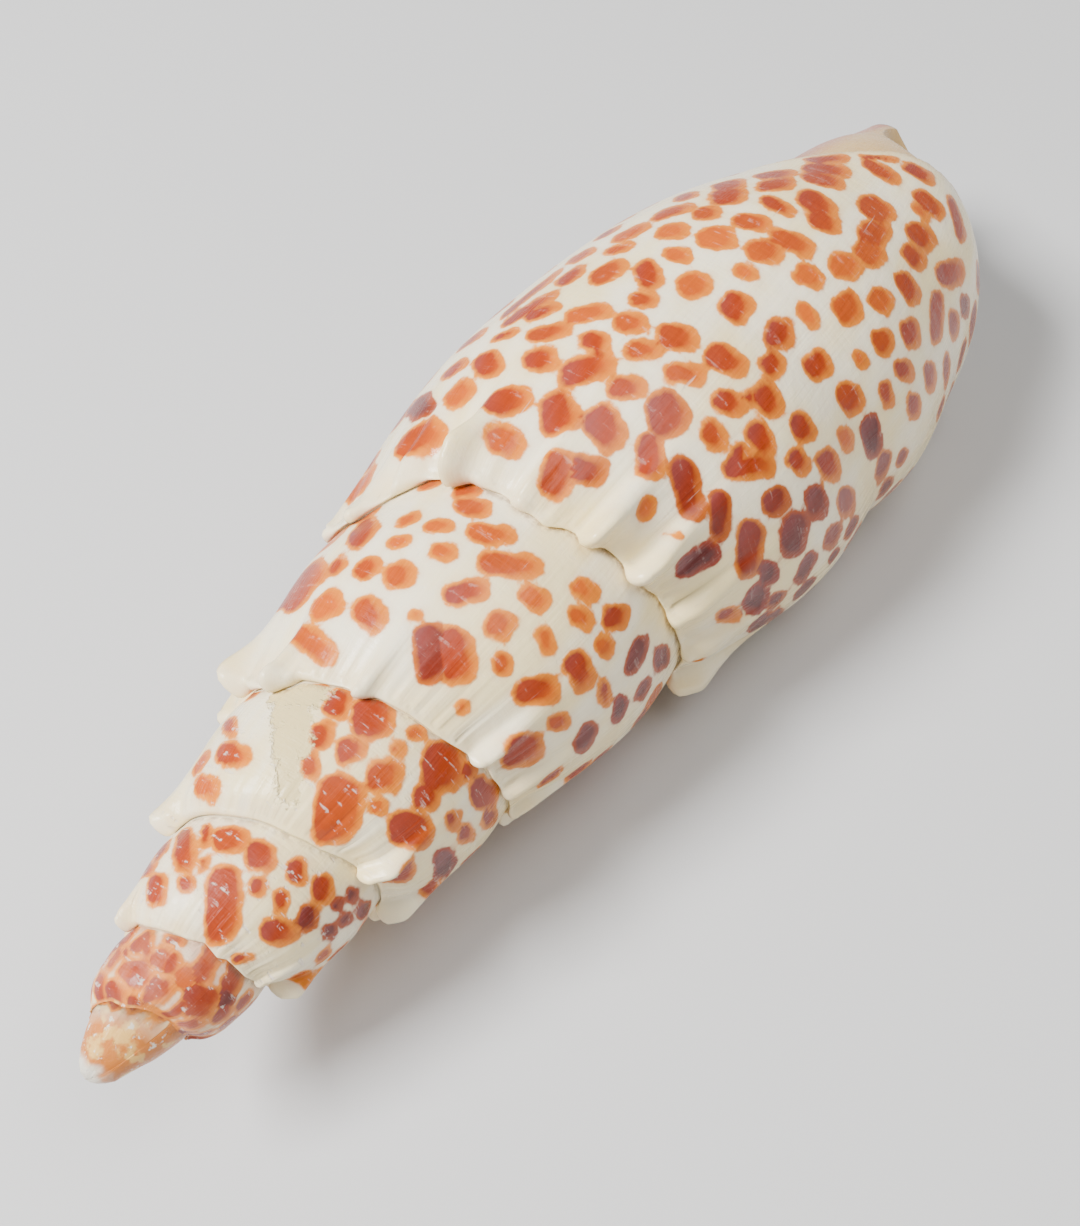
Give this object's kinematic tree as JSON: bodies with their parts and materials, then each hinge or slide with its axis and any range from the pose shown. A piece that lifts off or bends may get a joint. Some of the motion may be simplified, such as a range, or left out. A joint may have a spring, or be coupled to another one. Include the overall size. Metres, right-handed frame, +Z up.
{
  "type": "mitre shell",
  "caption": "Long spindle-shaped sea snail shell with crowned whorls, orange-red spots on cream and an open aperture, lying on its aperture.",
  "frame": {"origin": "on the surface that the shell rests on, below the middle of its box", "axes": "+X along the shell from the apex to the front end, +Z up as it lies on its aperture"},
  "size_m": [0.1256, 0.039, 0.0354],
  "materials": {
    "porcelain_shell": "gloss"
  },
  "bodies": {
    "root": {"shell": "porcelain_shell"}
  },
  "joints": []
}
